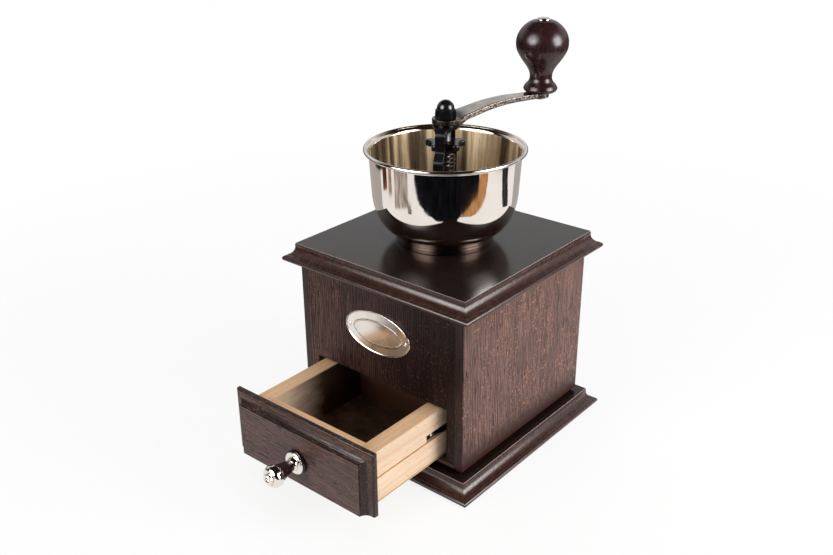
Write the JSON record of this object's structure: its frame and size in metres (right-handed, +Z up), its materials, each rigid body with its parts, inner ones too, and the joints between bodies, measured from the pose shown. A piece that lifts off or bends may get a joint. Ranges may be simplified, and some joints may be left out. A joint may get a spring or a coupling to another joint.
{
  "type": "manual coffee grinder",
  "caption": "Box-shaped hand coffee mill with an open metal bowl, a conical burr mill, a crank with a turned knob and a pull-out drawer.",
  "frame": {"origin": "centre of the base plate's underside, on the axis of the bowl and the crank shaft", "axes": "+Z up along the crank shaft, -Y out of the front with the drawer, +X to the right seen from the front"},
  "size_m": [0.135, 0.212, 0.2299],
  "materials": {
    "dark_wood": "satin stained oak",
    "light_wood": "plain sanded beech",
    "plywood": "thin plywood",
    "turned_wood": "glossy lacquered dark wood",
    "bright_plating": "polished nickel plate",
    "black_steel": "gloss black",
    "cast_burr": "ground cast steel",
    "bronze": "sintered bronze",
    "steel": "zinc plated"
  },
  "bodies": {
    "housing": {"back_panel": "dark_wood", "badge": "bright_plating", "badge_pin_left": "bright_plating", "badge_pin_right": "bright_plating", "base_plate": "dark_wood", "base_screw_1": "steel", "base_screw_2": "steel", "base_screw_3": "steel", "base_screw_4": "steel", "bearing_frame": "black_steel", "bowl_foot": "bright_plating", "bridge": "black_steel", "burr_ring": "cast_burr", "drawer_guide_left": "light_wood", "drawer_guide_right": "light_wood", "floor_board": "dark_wood", "front_panel": "dark_wood", "hopper_bowl": "bright_plating", "lower_strap": "cast_burr", "mechanism_screw_1": "steel", "mechanism_screw_2": "steel", "mechanism_screw_3": "steel", "mechanism_screw_4": "steel", "side_panel_left": "dark_wood", "side_panel_right": "dark_wood", "strap_screw_left": "steel", "strap_screw_right": "steel", "tension_spring": "steel", "thrust_washer": "steel", "top_plate": "dark_wood", "upper_bush": "bronze"},
    "lift_bush": {"lower_bush": "bronze"},
    "shaft": {"burr_cone": "cast_burr", "cap_nut": "black_steel", "crank_arm": "bright_plating", "knob_pin": "bright_plating", "main_shaft": "steel", "retaining_ring": "steel"},
    "knob": {"crank_knob": "turned_wood"},
    "adjuster": {"star_wheel": "black_steel"},
    "drawer": {"drawer_back": "light_wood", "drawer_bottom": "plywood", "drawer_front": "dark_wood", "drawer_inner_front": "light_wood", "drawer_side_left": "light_wood", "drawer_side_right": "light_wood", "friction_spring_left": "black_steel", "friction_spring_right": "black_steel", "pull_backing": "black_steel", "pull_bolt": "steel", "pull_cap": "bright_plating", "pull_rose": "bright_plating", "pull_stem": "turned_wood", "spring_screw_left": "bright_plating", "spring_screw_right": "bright_plating"}
  },
  "joints": [
    {"name": "burr_lift", "type": "slide", "parent": "housing", "child": "lift_bush", "axis": [0, 0, 1], "range_m": [0, 0.001]},
    {"name": "crank_turn", "type": "hinge", "parent": "lift_bush", "child": "shaft", "pos_m": [0, 0, 0.18], "axis": [0, 0, 1], "continuous": true},
    {"name": "knob_spin", "type": "hinge", "parent": "shaft", "child": "knob", "pos_m": [0.02269, 0.05587, 0.2], "axis": [0, 0, 1], "continuous": true},
    {"name": "adjuster_turn", "type": "hinge", "parent": "shaft", "child": "adjuster", "pos_m": [0, 0, 0.168], "axis": [0, 0, 1], "range_deg": [0, 360]},
    {"name": "drawer_slide", "type": "slide", "parent": "housing", "child": "drawer", "axis": [0, -1, 0], "range_m": [-0.0566, 0.012]}
  ],
  "couplings": [
    {"joint": "adjuster_turn", "follows": "burr_lift", "rad_per_m": 6283.2}
  ]
}
